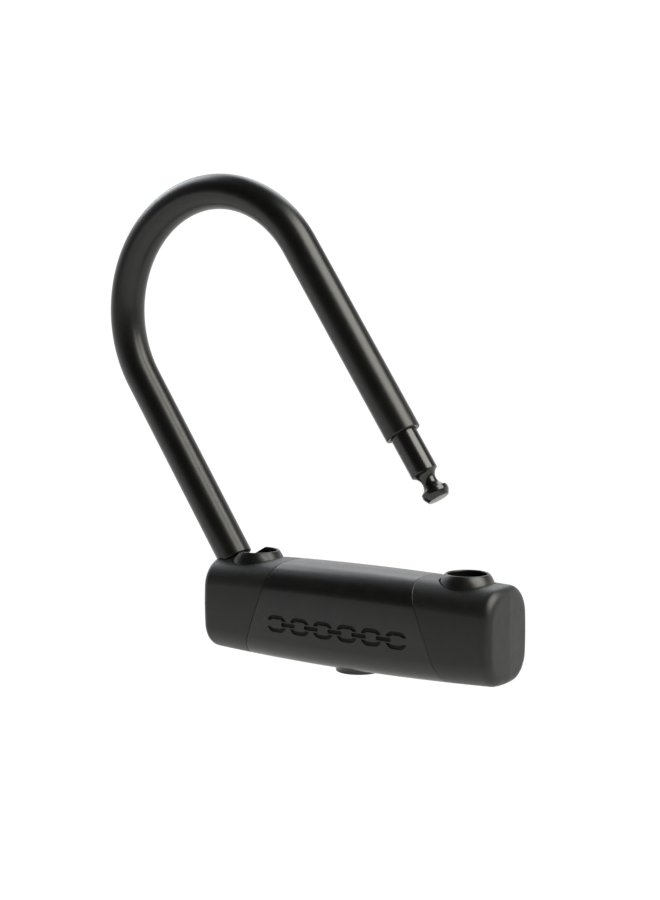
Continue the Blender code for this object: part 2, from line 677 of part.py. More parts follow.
# --- Assembly --------------------------------------------------------------
def build():
    clear_scene()
    sleeve_region, left_region, right_region = seam_cutters()
    slot = stem_slot()
    cap_pocket = shoulder_pocket("cap_pocket", SHOULDER - POCKET_CLEARANCE,
                                 COAT_RADIUS + POCKET_CLEARANCE)
    collar_pocket = shoulder_pocket("collar_pocket", COLLAR_CUT, FLANGE_RADIUS + 5 * MM)
    center_sleeve(sleeve_region)
    end_cap("left_end_cap", -1, left_region, (slot, cap_pocket))
    end_cap("right_end_cap", 1, right_region)

    plug_x = TUBE_HALF_LENGTH - PLUG_LENGTH / 2
    pin_places = {"left_plug_pin": (-plug_x, PLUG_PIN_Z), "right_plug_pin": (plug_x, PLUG_PIN_Z),
                  "hinge_block_pin": (sum(HINGE_BLOCK) / 2, PLUG_PIN_Z),
                  "guide_pin_inner": (GUIDE_PIN_X[0], PLUG_PIN_Z),
                  "guide_pin_outer": (GUIDE_PIN_X[1], PLUG_PIN_Z)}
    pin_holes = {}
    for name, (x, z) in pin_places.items():
        cross_pin(name, x, z)
        pin_holes[name] = cross_hole(name + "_hole", PLUG_PIN_RADIUS + GAP, x, z)
    crossbar_tube((slot, cap_pocket), pin_holes.values())
    socket_collar("left_collar", -1, (slot, collar_pocket))
    socket_collar("right_collar", 1)

    hinge_holes = []
    for name, y in (("hinge_pin_front", -HINGE_PIN_Y), ("hinge_pin_rear", HINGE_PIN_Y)):
        hinge_pin(name, y)
        hinge_holes.append(hinge_pin_hole(name + "_hole", y))
    end_plug("left_end_plug", -1, [slot, pin_holes["left_plug_pin"]] + hinge_holes)
    end_plug("right_end_plug", 1, [pin_holes["right_plug_pin"]])
    hinge_block(hinge_holes, pin_holes["hinge_block_pin"])
    foot_bumper()

    shackle_pivot = pivot("shackle_pivot", (-LEG_X, 0, 0), -OPEN_TILT)
    shackle_core(shackle_pivot)
    shackle_sleeve(shackle_pivot)

    bolt_line = pivot("bolt_line", (0, 0, 0))
    lock_bolt(bolt_line)
    bolt_peg(bolt_line)
    bolt_guide([pin_holes["guide_pin_inner"], pin_holes["guide_pin_outer"]])

    screw_holes = []
    for name, x in (("housing_screw_left", -HOUSING_SCREW_X), ("housing_screw_right", HOUSING_SCREW_X)):
        housing_screw(name, x)
        screw_holes.append(upright_hole(name + "_hole", HOUSING_SCREW_RADIUS + GAP, x,
                                        -30 * MM, -5 * MM, 16))
    cylinder_housing(screw_holes)
    guard_ring()
    keyway_plate("drill_guard", 6.1 * MM, -23.4 * MM, -20.4 * MM, (2.9 * MM, 1.6 * MM), bare_steel())

    key_axis = pivot("key_axis", (0, 0, 0))
    disc_carrier(key_axis)
    for index in range(DISC_COUNT):
        lock_disc("disc_%d" % (index + 1), index, key_axis)
    sidebar(key_axis)
    drive_cam(key_axis)

    shutter_axis = pivot("shutter_axis", (0, 0, 0))
    keyway_plate("keyway_shutter", 6.1 * MM, -24.9 * MM, -23.7 * MM, (2.7 * MM, 1.3 * MM),
                 black_steel(), shutter_axis)


build()
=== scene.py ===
"""Looks of the U lock: smooth shells, coated shackle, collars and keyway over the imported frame."""
import json
import math

import bmesh
import bpy
from mathutils import Euler, Matrix, Quaternion, Vector


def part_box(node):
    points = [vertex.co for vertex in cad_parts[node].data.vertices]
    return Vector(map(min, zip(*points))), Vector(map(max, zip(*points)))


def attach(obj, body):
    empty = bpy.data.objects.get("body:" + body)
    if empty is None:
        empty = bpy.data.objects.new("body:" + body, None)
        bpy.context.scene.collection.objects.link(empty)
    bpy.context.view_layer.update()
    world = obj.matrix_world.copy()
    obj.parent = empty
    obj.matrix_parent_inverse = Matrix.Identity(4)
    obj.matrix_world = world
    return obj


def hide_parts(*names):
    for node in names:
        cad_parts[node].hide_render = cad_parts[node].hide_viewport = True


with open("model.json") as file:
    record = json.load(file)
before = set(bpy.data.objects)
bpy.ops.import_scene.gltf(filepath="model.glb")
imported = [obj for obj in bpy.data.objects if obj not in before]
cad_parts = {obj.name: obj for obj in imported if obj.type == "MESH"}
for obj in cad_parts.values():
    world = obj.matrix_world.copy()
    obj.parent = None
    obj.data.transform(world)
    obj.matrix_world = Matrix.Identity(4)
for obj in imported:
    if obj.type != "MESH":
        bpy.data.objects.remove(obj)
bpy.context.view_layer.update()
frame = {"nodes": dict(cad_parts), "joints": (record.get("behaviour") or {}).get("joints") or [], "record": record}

MM = 0.001

# --- Crossbar --------------------------------------------------------------
SWING = next(j for j in frame["joints"] if j["name"] == "shackle_swing")
LEG_X = -SWING["pos_m"][0]          # the sockets, and the legs when closed, are at -LEG_X and LEG_X
OPEN_TILT = math.radians(SWING["range_deg"][1])
LEG_SPACING = 2 * LEG_X
TOP_RISE = 0.29 * MM                # how far the bowed top stands above the flat CAD one
BAR_HALF_LENGTH = 80.5 * MM
BAR_HALF_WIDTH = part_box("center_sleeve")[1].y
BAR_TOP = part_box("center_sleeve")[1].z + TOP_RISE
BAR_BOTTOM = -24.2 * MM
CROWN_WIDTH, CROWN_TOP, CROWN_BOTTOM = 2.0 * MM, 1.74 * MM, 1.85 * MM   # taper from middle to ends
TOP_CORNER, BOTTOM_CORNER, END_FILLET = 13.1 * MM, 12.1 * MM, 4.1 * MM
CORNER_SHRINK = 0.6                 # share of an inset that the corners' radii lose
END_RIDGE = 0.5 * MM                # each end has two faces, which meet in a low upright ridge
SIDE_LEAN = math.radians(4.0)       # tilt of the gently bowed long sides where the corners start
TOP_LEAN = math.radians(5.0)        # the same for the gently bowed top
LOW_LEAN = math.radians(8.0)        # and for the rounder underside
SEAM_X, SEAM_SLOPE = 47.0 * MM, 0.38
SEAM_GAP = 0.06 * MM                # half of the gap that shows between shells
SEAM_EDGE = 0.28 * MM               # size of the turned edges of the shells at the seams
TUBE_HALF_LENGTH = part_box("crossbar_tube")[1].x
TUBE_HALF_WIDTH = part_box("crossbar_tube")[1].y
TUBE_LOW, TUBE_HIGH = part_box("crossbar_tube")[0].z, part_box("crossbar_tube")[1].z
POCKET_GAP = 0.3 * MM               # between the tube and the shells round it
POCKET_CORNER = 9.3 * MM

# --- Sunk mark on the sleeve -----------------------------------------------
LINK_LENGTH, LINK_HEIGHT, LINK_LINE = 11.6 * MM, 8.2 * MM, 1.9 * MM
LINK_PITCH, LINK_COUNT = 13.4 * MM, 6
LINK_BREAK = 1.5 * MM               # half of the break where a link passes through its neighbour
CROSSING_REACH = 3.1 * MM           # half length of a crossing link, without its round ends
MARK_HEIGHT, MARK_DEPTH = -4.4 * MM, 0.6 * MM

# --- Sockets and keyway ----------------------------------------------------
COLLAR_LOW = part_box("right_collar")[0].z
RIM_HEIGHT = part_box("right_collar")[1].z
SOCKET_RADIUS, FLANGE_RADIUS = 9.5 * MM, 12.8 * MM
FLANGE_LOW, COLLAR_RADIUS = 19.1 * MM, 11.2 * MM
COLLAR_LIP, COLLAR_THROAT = 0.6 * MM, 9.05 * MM
SWELL_BASE, SWELL_CREST = 9.0, 40.0     # degrees round the shoulder, where it starts and ends
THROAT_DEPTH, THROAT_END = 1.6 * MM, 2.4 * MM
HOLE_LOW, HOLE_HIGH = 8 * MM, 40 * MM
HUG = 0.02 * MM                     # play between pieces that fit closely
BOSS_RADIUS, BOSS_LOW, BOSS_HOLE = 10.9 * MM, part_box("center_sleeve")[0].z, 8.5 * MM
BOSS_FLARE, BOSS_EDGE = 0.9 * MM, 0.6 * MM
BOSS_ROOT, BOSS_HOLE_TOP = BAR_BOTTOM + 4 * MM, -15 * MM         # both inside the sleeve
FLARE_ABOVE, FLARE_BELOW = 1.4 * MM, 0.9 * MM      # reach of the flare from the sleeve's underside
GUARD_INNER, GUARD_OUTER, GUARD_EDGE = 6.4 * MM, 8.2 * MM, 0.4 * MM
SHUTTER_CENTER, SHUTTER_RADIUS, SHUTTER_EDGE = 0.5 * MM, 6.1 * MM, 0.25 * MM
SLOT_HALF_LENGTH, SLOT_HALF_WIDTH, SLOT_CORNER = 2.7 * MM, 1.3 * MM, 0.5 * MM

# --- Shackle and the room it swings through --------------------------------
STEEL_RADIUS, COAT_RADIUS = 6.4 * MM, 8.5 * MM
SHOULDER, BEND_HEIGHT = 25.0 * MM, 129.0 * MM      # the coating starts at one, the bend at the other
LEG_RING = SHOULDER + 20 * MM       # the last ring of a foot, with a plain leg from there up
HEAD_LOW, NECK_RADIUS, NECK_ARC = -9.0 * MM, 3.5 * MM, 4.94 * MM
HEAD_STEPS = ((0.0, 1.0), (0.0, 4.9), (0.1, 5.1), (1.0, 5.6), (2.0, 6.15),
              (2.4, 6.32), (2.7, 6.4), (3.9, 6.4), (4.2, 6.34))   # mm above HEAD_LOW, radius in mm
COAT_LIP = 0.6 * MM
BORE_MOUTH, MOUTH_DEPTH = 0.15 * MM, 0.25 * MM     # the bore opens out by this at its ends
LEG_CLEARANCE, POCKET_CLEARANCE, COLLAR_CUT = 0.4 * MM, 0.7 * MM, 23.0 * MM
LINING_CLEARANCE, COAT_END_CLEARANCE, NOTCH_GAP = 0.3 * MM, 0.45 * MM, 0.05 * MM
CHANNEL_END = 60 * MM
PAST_ALL = 45 * MM                  # beyond every surface near the hinge
CAP_SPAN = 30 * MM                  # wider than the crossbar

# --- Fineness --------------------------------------------------------------
ROUND, FINE_ROUND = 96, 128         # sides of the big round pieces
ROD_SIDES, BEND_STEPS, NECK_STEPS = 72, 96, 24
CHANNEL_STEPS = 32
ARC_STEPS, FLAT_STEPS = 14, 6       # steps in each corner and each flat of the crossbar's section
SLEEVE_STEPS, FILLET_STEPS, CAP_STEPS = 30, 10, 14
ON_MIDDLE = 1e-6                    # a point this close to y = 0 is on it

# --- Camera, light and floor -----------------------------------------------
CAMERA_PLACE = (0.4716, -0.68697, 0.16524)
CAMERA_AZIMUTH, CAMERA_ELEVATION, CAMERA_ROLL = (math.radians(a) for a in (35.38, 5.97, -0.185))
CAMERA_SENSOR, CAMERA_LENS = 36.0, 72.29
LIT_POINT = Vector((-0.02, 0.0, 0.07))
LIGHT_DISTANCE = 5.0
WARM, COOL = (1.0, 0.98, 0.9), (0.93, 0.97, 1.0)
FLOOR_DROP, FLOOR_RADIUS = 0.75, 2.85
LIT_AZIMUTH, LIT_SPAN, LIT_SHADES = 50, (-1.2, 1.2), (0.88, 0.66)       # painted shade: the floor's colour is darker under the lights
FAR_AZIMUTH, FAR_SPAN, FAR_SHADES = 125, (1.1, 1.7), (0.0, 0.93)        # painted light: the floor's colour is near white far behind the lock, where the lights reach little
GROUND_SPAN = (-0.17, 0.05)         # sines of the elevations between which the light from below ends
BEHIND_AZIMUTH, BEHIND_SPAN = 115, (-0.45, 0.6)
BAND_SPAN = (0.16, 0.62)            # and between which the light from behind ends
BACKDROP_LEVEL, ROOM_LEVEL = 1.02, 0.015


# --- Mesh helpers ----------------------------------------------------------
def finish_piece(name, bm, mats, sharp=30.0):
    """Make an object from a bmesh, faces out, smooth except at its real edges."""
    bmesh.ops.recalc_face_normals(bm, faces=bm.faces[:])
    mesh = bpy.data.meshes.new(name)
    bm.to_mesh(mesh)
    bm.free()
    obj = bpy.data.objects.new(name, mesh)
    bpy.context.scene.collection.objects.link(obj)
    for mat in mats:
        mesh.materials.append(mat)
    smooth(obj, sharp)
    return obj


def smooth(obj, sharp):
    """Shade smooth across edges that turn by less than the sharp angle."""
    obj.data.shade_smooth()
    obj.data.set_sharp_from_angle(angle=math.radians(sharp))


def settle_normals(obj):
    """Let the large faces set the shading of the small ones beside them."""
    mod = obj.modifiers.new("even_shading", "WEIGHTED_NORMAL")
    mod.keep_sharp = True
    mod.weight = 60


def loft(rings, closed=False, caps=True):
    """Skin rings of equal count: joined last to first, closed by a face at each end, or open."""
    bm = bmesh.new()
    rows = [[bm.verts.new(point) for point in ring] for ring in rings]
    pairs = list(zip(rows, rows[1:]))
    if closed:
        pairs.append((rows[-1], rows[0]))
    for low, high in pairs:
        count = len(low)
        for i in range(count):
            j = (i + 1) % count
            bm.faces.new((low[i], low[j], high[j], high[i]))
    if caps and not closed:
        bm.faces.new(rows[0])
        bm.faces.new(rows[-1])
    return bm


def turned(profile, sides=ROUND, closed=False, x=0.0):
    """Turn (radius, z) points about an upright axis at x."""
    angles = [math.tau * (k + 0.5) / sides for k in range(sides)]
    rings = [[Vector((x + radius * math.cos(angle), radius * math.sin(angle), z)) for angle in angles]
             for radius, z in profile]
    return loft(rings, closed)


def prism(outline, low, high, to_space):
    """A solid between w = low and w = high; to_space turns (u, v, w) into a point."""
    return loft([[Vector(to_space(u, v, w)) for u, v in outline] for w in (low, high)])


def across(u, v, w):
    """An outline in the x, z plane, with its depth along y."""
    return (u, w, v)


def upright(u, v, w):
    """An outline in the x, y plane, with its depth along z."""
    return (u, v, w)


def arc(center_r, center_z, radius, first, last, steps=5):
    """Points on an arc between two angles in degrees."""
    angles = [math.radians(first + (last - first) * k / steps) for k in range(steps + 1)]
    return [(center_r + radius * math.cos(angle), center_z + radius * math.sin(angle)) for angle in angles]


def round_hole(name, radius, x, low, high, mat):
    """A solid cylinder to cut with."""
    return finish_piece(name, turned([(radius, low), (radius, high)], x=x), [mat])


def carve(obj, cutters, operation="DIFFERENCE", sharp=30.0):
    """Combine a piece with solids, keep the result as its mesh and drop the solids."""
    for cutter in cutters:
        mod = obj.modifiers.new(cutter.name, "BOOLEAN")
        mod.operation = operation
        mod.solver = "EXACT"
        mod.object = cutter
        mod.material_mode = "TRANSFER"
    evaluated = obj.evaluated_get(bpy.context.evaluated_depsgraph_get())
    mesh = bpy.data.meshes.new_from_object(evaluated)
    obj.modifiers.clear()
    obj.data = mesh
    for cutter in cutters:
        bpy.data.objects.remove(cutter)
    smooth(obj, sharp)


def place(obj, body, slot, *nodes):
    """Ride on a body and stand for CAD nodes, which it hides; slot is not used."""
    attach(obj, body)
    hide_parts(*nodes)


# --- Materials -------------------------------------------------------------
NOISE_MIDDLE = (0.3, 0.7)           # a noise of 0 to 1 lies mostly between these


def node_material(name, color, roughness, metallic=0.0, specular=0.5):
    """A plain Principled material, with its tree and shader for more nodes."""
    mat = bpy.data.materials.new(name)
    mat.use_nodes = True
    shader = mat.node_tree.nodes["Principled BSDF"]
    shader.inputs["Base Color"].default_value = (*color, 1.0)
    shader.inputs["Roughness"].default_value = roughness
    shader.inputs["Metallic"].default_value = metallic
    shader.inputs["Specular IOR Level"].default_value = specular
    return mat, mat.node_tree, shader


def noise(tree, scale, detail=3.0, stretch=(1.0, 1.0, 1.0)):
    """Noise in the object's own metres; scale is features per metre."""
    coords = tree.nodes.new("ShaderNodeTexCoord")
    mapping = tree.nodes.new("ShaderNodeMapping")
    mapping.inputs["Scale"].default_value = stretch
    tex = tree.nodes.new("ShaderNodeTexNoise")
    tex.inputs["Scale"].default_value = scale
    tex.inputs["Detail"].default_value = detail
    tex.inputs["Roughness"].default_value = 0.5
    tree.links.new(coords.outputs["Object"], mapping.inputs["Vector"])
    tree.links.new(mapping.outputs["Vector"], tex.inputs["Vector"])
    return tex.outputs["Fac"]


def map_range(tree, source, span, levels, shape):
    """Map a span of a value onto two levels, and hold them beyond it."""
    node = tree.nodes.new("ShaderNodeMapRange")
    node.interpolation_type = shape
    for socket, value in zip(("From Min", "From Max", "To Min", "To Max"), (*span, *levels)):
        node.inputs[socket].default_value = value
    tree.links.new(source, node.inputs["Value"])
    return node.outputs["Result"]


def vary_gloss(tree, shader, source, smoothest, roughest):
    """Let a noise move the roughness between two values."""
    roughness = map_range(tree, source, NOISE_MIDDLE, (smoothest, roughest), "LINEAR")
    tree.links.new(roughness, shader.inputs["Roughness"])


def vary_color(tree, shader, source, dark, light):
    """Let a noise move the base colour between two values."""
    ramp = tree.nodes.new("ShaderNodeValToRGB")
    for element, position, color in zip(ramp.color_ramp.elements, NOISE_MIDDLE, (dark, light)):
        element.position = position
        element.color = (*color, 1.0)
    tree.links.new(source, ramp.inputs["Fac"])
    tree.links.new(ramp.outputs["Color"], shader.inputs["Base Color"])


def bump(tree, shader, sources, distance):
    """Stack bumps; sources is a list of (height, strength)."""
    previous = None
    for height, strength in sources:
        node = tree.nodes.new("ShaderNodeBump")
        node.inputs["Strength"].default_value = strength
        node.inputs["Distance"].default_value = distance
        tree.links.new(height, node.inputs["Height"])
        if previous:
            tree.links.new(previous, node.inputs["Normal"])
        previous = node.outputs["Normal"]
    tree.links.new(previous, shader.inputs["Normal"])


def moulded_plastic(name, specular, smoothest, roughest):
    """Black glass-filled nylon with a fine spark-eroded grain."""
    mat, tree, shader = node_material(name, (0.006, 0.006, 0.006), smoothest, 0.0, specular)
    vary_color(tree, shader, noise(tree, 90.0), (0.005, 0.005, 0.0048), (0.0075, 0.0075, 0.0072))
    vary_gloss(tree, shader, noise(tree, 260.0), smoothest, roughest)
    bump(tree, shader, [(noise(tree, 5200.0, 2.0), 0.1), (noise(tree, 700.0, 2.0), 0.04)], 0.05 * MM)
    return mat


def recess_plastic():
    """The floor and walls of the sunk links, with a darker base colour and a weaker, duller gloss than the face
    round them.
    """
    mat, tree, shader = node_material("recess_plastic", (0.004, 0.004, 0.004), 0.55, 0.0, 0.2)
    bump(tree, shader, [(noise(tree, 6000.0, 2.0), 0.2)], 0.05 * MM)
    return mat


def shackle_coating():
    """Smooth satin vinyl over the steel, with a faint mottle and orange peel."""
    mat, tree, shader = node_material("shackle_coating", (0.005, 0.005, 0.0046), 0.33)
    vary_color(tree, shader, noise(tree, 60.0), (0.0028, 0.0028, 0.0025), (0.0044, 0.0044, 0.004))
    vary_gloss(tree, shader, noise(tree, 180.0), 0.31, 0.35)
    bump(tree, shader, [(noise(tree, 2600.0, 2.0), 0.03), (noise(tree, 420.0, 2.0), 0.02)], 0.05 * MM)
    return mat


def blackened_steel():
    """Satin black finish of the collars and the keyway."""
    mat, tree, shader = node_material("blackened_steel", (0.006, 0.006, 0.0058), 0.34)
    vary_gloss(tree, shader, noise(tree, 600.0), 0.31, 0.37)
    bump(tree, shader, [(noise(tree, 4000.0), 0.03)], 0.03 * MM)
    return mat


def plated_steel():
    """Glossy black plating, very slightly uneven."""
    mat, tree, shader = node_material("plated_steel", (0.005, 0.005, 0.0048), 0.24, 0.0, 0.6)
    vary_gloss(tree, shader, noise(tree, 160.0), 0.21, 0.24)
    bump(tree, shader, [(noise(tree, 900.0, 2.0), 0.005)], 0.03 * MM)
    return mat


def machined_steel():
    """Bare steel with tool marks along x."""
    mat, tree, shader = node_material("machined_steel", (0.42, 0.42, 0.41), 0.34, 1.0)
    vary_gloss(tree, shader, noise(tree, 900.0, stretch=(0.05, 1.0, 1.0)), 0.28, 0.42)
    bump(tree, shader, [(noise(tree, 4200.0, 2.0, (0.04, 1.0, 1.0)), 0.08)], 0.03 * MM)
    return mat


def machined_brass():
    """Bare brass with tool marks along z."""
    mat, tree, shader = node_material("machined_brass", (0.62, 0.44, 0.18), 0.32, 1.0)
    vary_gloss(tree, shader, noise(tree, 1200.0), 0.26, 0.40)
    bump(tree, shader, [(noise(tree, 5000.0, 2.0, (1.0, 1.0, 0.1)), 0.08)], 0.03 * MM)
    return mat


def bumper_rubber():
    """Dull black rubber."""
    mat, tree, shader = node_material("bumper_rubber", (0.012, 0.012, 0.012), 0.8)
    bump(tree, shader, [(noise(tree, 2500.0), 0.2)], 0.1 * MM)
    return mat


# --- Crossbar section ------------------------------------------------------
def section_spots():
    """Spots round the section: (kind, side, value), clockwise from the top corner at +Y."""
    spots = []
    arcs = ((1, "top", 90, 0), (1, "low", 0, -90), (-1, "low", -90, 0), (-1, "top", 0, 90))
    flats = (("side", 1), ("bottom", 1), ("side", -1), ("lid", -1))
    for (side, corner, first, last), (flat, flat_side) in zip(arcs, flats):
        for k in range(ARC_STEPS + 1):
            spots.append((corner, side, math.radians(first + (last - first) * k / ARC_STEPS)))
        for k in range(1, FLAT_STEPS):
            spots.append((flat, flat_side, k / FLAT_STEPS))
    return spots


SECTION = section_spots()


def section_point(spot, half_width, low, high, low_corner, high_corner,
                  lean=0.0, top_lean=0.0, low_lean=0.0):
    """(y, z) of a spot; every face bows out, so it leans by its angle where the corners start."""
    kind, side, value = spot
    high_reach, low_reach = half_width - high_corner, half_width - low_corner
    high_bow = high_reach / 2 * math.tan(top_lean)
    low_bow = low_reach / 2 * math.tan(low_lean)
    high_center = high - high_bow - high_corner * math.cos(top_lean)
    low_center = low + low_bow + low_corner * math.cos(low_lean)
    side_top = high_center + high_corner * math.sin(lean)
    side_low = low_center - low_corner * math.sin(lean)
    bow = (side_top - side_low) / 4 * math.tan(lean)
    reach_change = bow + high_corner * (math.cos(lean) - 1)
    low_change = bow + low_corner * (math.cos(lean) - 1)
    if kind == "top":
        angle = lean + (math.pi / 2 - lean - top_lean) * value / (math.pi / 2)
        return (side * (high_reach - reach_change + high_corner * math.cos(angle)),
                high_center + high_corner * math.sin(angle))
    if kind == "low":
        angle = -lean + (math.pi / 2 - lean - low_lean) * value / (math.pi / 2)
        return (side * (low_reach - low_change + low_corner * math.cos(angle)),
                low_center + low_corner * math.sin(angle))
    share = 1 - 2 * (value if side > 0 else 1 - value)
    if kind == "side":
        return (side * (half_width - bow * share * share),
                (side_top + side_low) / 2 + (side_top - side_low) / 2 * share)
    if kind == "bottom":
        edge = low_reach - low_change + low_corner * math.sin(low_lean)
        return (edge * share, low + low_bow * share * share)
    edge = high_reach - reach_change + high_corner * math.sin(top_lean)
    return (edge * share, high - high_bow * share * share)


def half_width_at(x):
    """The crossbar narrows a little from its middle to its ends."""
    return BAR_HALF_WIDTH - CROWN_WIDTH * (x / BAR_HALF_LENGTH) ** 2


def outer_point(spot, x, inset):
    """(y, z) of a spot on the outside at x, or this far under it."""
    share = (x / BAR_HALF_LENGTH) ** 2
    return section_point(spot, half_width_at(x) - inset, BAR_BOTTOM + CROWN_BOTTOM * share + inset,
                         BAR_TOP - CROWN_TOP * share - inset, BOTTOM_CORNER - CORNER_SHRINK * inset,
                         TOP_CORNER - CORNER_SHRINK * inset, SIDE_LEAN, TOP_LEAN, LOW_LEAN)


def pocket_point(spot):
    """(y, z) of a spot on the shells' inside, round the tube."""
    return section_point(spot, TUBE_HALF_WIDTH + POCKET_GAP, TUBE_LOW - POCKET_GAP,
                         TUBE_HIGH + POCKET_GAP, POCKET_CORNER, POCKET_CORNER)


def seam_at(z):
    """x of the right seam, which leans; the left one mirrors it."""
    return SEAM_X - SEAM_SLOPE * z


def outer_ring(x_at, inset=0.0):
    """A ring whose x follows the height of each point."""
    ring = []
    for spot in SECTION:
        z = 0.0
        for _ in range(4):
            x = x_at(z)
            y, z = outer_point(spot, x, inset)
        ring.append(Vector((x, y, z)))
    return ring


def pocket_ring(x_at):
    """The same on the inside."""
    ring = []
    for spot in SECTION:
        y, z = pocket_point(spot)
        ring.append(Vector((x_at(z), y, z)))
    return ring


# --- Centre sleeve ---------------------------------------------------------
def sleeve_rows():
    """Rings from the left seam's rounded edge to the right one, and back through the inside."""
    turns = [math.radians(a) for a in (0, 30, 60, 90)]

    def edge_ring(side, a):
        return outer_ring(lambda z: side * (seam_at(z) - SEAM_GAP - SEAM_EDGE * (1 - math.cos(a))),
                          SEAM_EDGE * (1 - math.sin(a)))

    rows = [edge_ring(-1, a) for a in turns]
    for k in range(1, SLEEVE_STEPS):
        t = k / SLEEVE_STEPS * 2 - 1
        rows.append(outer_ring(lambda z, t=t: t * (seam_at(z) - (SEAM_GAP + SEAM_EDGE))))
    rows += [edge_ring(1, a) for a in reversed(turns)]
    rows.append(pocket_ring(lambda z: seam_at(z) - SEAM_GAP))
    rows.append(pocket_ring(lambda z: -(seam_at(z) - SEAM_GAP)))
    return rows


def half_oval(reach, radius):
    """Over the top of an oval, from its right break to its left one."""
    start = math.asin(LINK_BREAK / radius)
    angles = [start + (math.pi / 2 - start) * k / 8 for k in range(9)]
    right = [(reach + radius * math.cos(angle), radius * math.sin(angle)) for angle in angles]
    return right + [(-u, v) for u, v in reversed(right)]


def half_link(upward):
    """One half of an oval link's outline, broken at both ends."""
    radius = LINK_HEIGHT / 2
    reach = LINK_LENGTH / 2 - radius
    points = half_oval(reach, radius) + half_oval(reach, radius - LINK_LINE)[::-1]
    return [(u, upward * v) for u, v in points]


def crossing_link():
    """The link seen edge on that joins two oval ones: a slim bar with round ends."""
    radius = LINK_LINE / 2
    return [(side * (CROSSING_REACH + radius * math.cos(angle)), side * radius * math.sin(angle))
            for side in (1, -1) for angle in (math.radians(-90 + 22.5 * k) for k in range(9))]


def mark_cutters(mat):
    """A row of plain chain links, sunk into the front of the sleeve."""
    shapes = []
    for n in range(LINK_COUNT):
        center = (n - (LINK_COUNT - 1) / 2) * LINK_PITCH
        shapes += [(center, half_link(1)), (center, half_link(-1))]
        if n < LINK_COUNT - 1:
            shapes.append((center + LINK_PITCH / 2, crossing_link()))
    cutters = []
    for index, (center, outline) in enumerate(shapes):
        def on_front(u, v, w, center=center):
            x = center + u
            return (x, -half_width_at(x) + w, MARK_HEIGHT + v)
        bm = prism(outline, -1.0 * MM, MARK_DEPTH, on_front)
        cutters.append(finish_piece("mark_%02d" % index, bm, [mat]))
    return cutters


def keyway_boss(mat):
    """The round boss under the sleeve, a little wider where it grows out of it."""
    profile = [(BOSS_RADIUS + BOSS_FLARE, BOSS_ROOT)]
    for k in range(9):
        t = k / 8
        profile.append((BOSS_RADIUS + BOSS_FLARE * (1 - t) ** 2,
                        BAR_BOTTOM + FLARE_ABOVE * (1 - t) - FLARE_BELOW * t))
    for k in range(1, 7):
        angle = math.radians(90 * k / 6)
        profile.append((BOSS_RADIUS - BOSS_EDGE * (1 - math.cos(angle)),
                        BOSS_LOW + BOSS_EDGE * (1 - math.sin(angle))))
    return finish_piece("boss", turned(profile, FINE_ROUND), [mat])


def build_sleeve(plastic, recess):
    """The sleeve with its boss, the keyway's hole and the sunk links."""
    obj = finish_piece("sleeve_shell", loft(sleeve_rows(), closed=True), [plastic])
    carve(obj, [keyway_boss(plastic)], "UNION")
    carve(obj, [round_hole("boss_hole", BOSS_HOLE, 0.0, BOSS_LOW - 2 * MM, BOSS_HOLE_TOP, plastic)])
    carve(obj, mark_cutters(recess))
    settle_normals(obj)
    place(obj, "crossbar", "black_plastic", "center_sleeve")


# --- End caps --------------------------------------------------------------
END_HALF_WIDTH = half_width_at(BAR_HALF_LENGTH) - END_FILLET


def ridge_at(y):
    """How far an end's two faces stand out at y."""
    return END_RIDGE * (1 - abs(y) / END_HALF_WIDTH)


def end_ring(share):
    """A ring on the end's two faces, shrunk towards the middle by share."""
    middle = (BAR_TOP - CROWN_TOP + BAR_BOTTOM + CROWN_BOTTOM) / 2
    ring = []
    for spot in SECTION:
        y, z = outer_point(spot, BAR_HALF_LENGTH, END_FILLET)
        y, z = y * share, middle + (z - middle) * share
        ring.append(Vector((BAR_HALF_LENGTH + ridge_at(y), y, z)))
    return ring


def fillet_ring(angle):
    """A ring on the rounding between the end and the outside."""
    x = BAR_HALF_LENGTH - END_FILLET + END_FILLET * math.sin(angle)
    ring = outer_ring(lambda z: x, END_FILLET * (1 - math.cos(angle)))
    for point in ring:
        point.x += max(0.0, ridge_at(point.y)) * math.sin(angle) ** 2
    return ring


def cap_rows():
    """Rings of the right cap from its end face round the outside and into the pocket."""
    rows = [end_ring(share) for share in (0.25, 0.6, 0.96)]
    rows += [fillet_ring(math.radians(90 * (1 - k / FILLET_STEPS))) for k in range(FILLET_STEPS + 1)]
    edge, fillet_start = SEAM_GAP + SEAM_EDGE, BAR_HALF_LENGTH - END_FILLET
    for k in range(CAP_STEPS - 1, -1, -1):
        t = k / CAP_STEPS
        rows.append(outer_ring(lambda z, t=t: (seam_at(z) + edge) * (1 - t) + fillet_start * t))
    for angle in (60, 30, 0):       # the seam's edge slopes inwards, with an undercut behind the slope
        turn = SEAM_EDGE * (1 - math.sin(math.radians(angle)))
        rows.append(outer_ring(lambda z, turn=turn: seam_at(z) + SEAM_GAP + turn, turn))
    rows.append(pocket_ring(lambda z: seam_at(z) + SEAM_GAP))
    rows.append(pocket_ring(lambda z: TUBE_HALF_LENGTH + POCKET_GAP))
    return rows


def beside_leg(along, below):
    """(x, z) of a point placed along the open leg, and square to it on its lower side."""
    sine, cosine = math.sin(OPEN_TILT), math.cos(OPEN_TILT)
    return (-LEG_X - along * sine - below * cosine, along * cosine - below * sine)


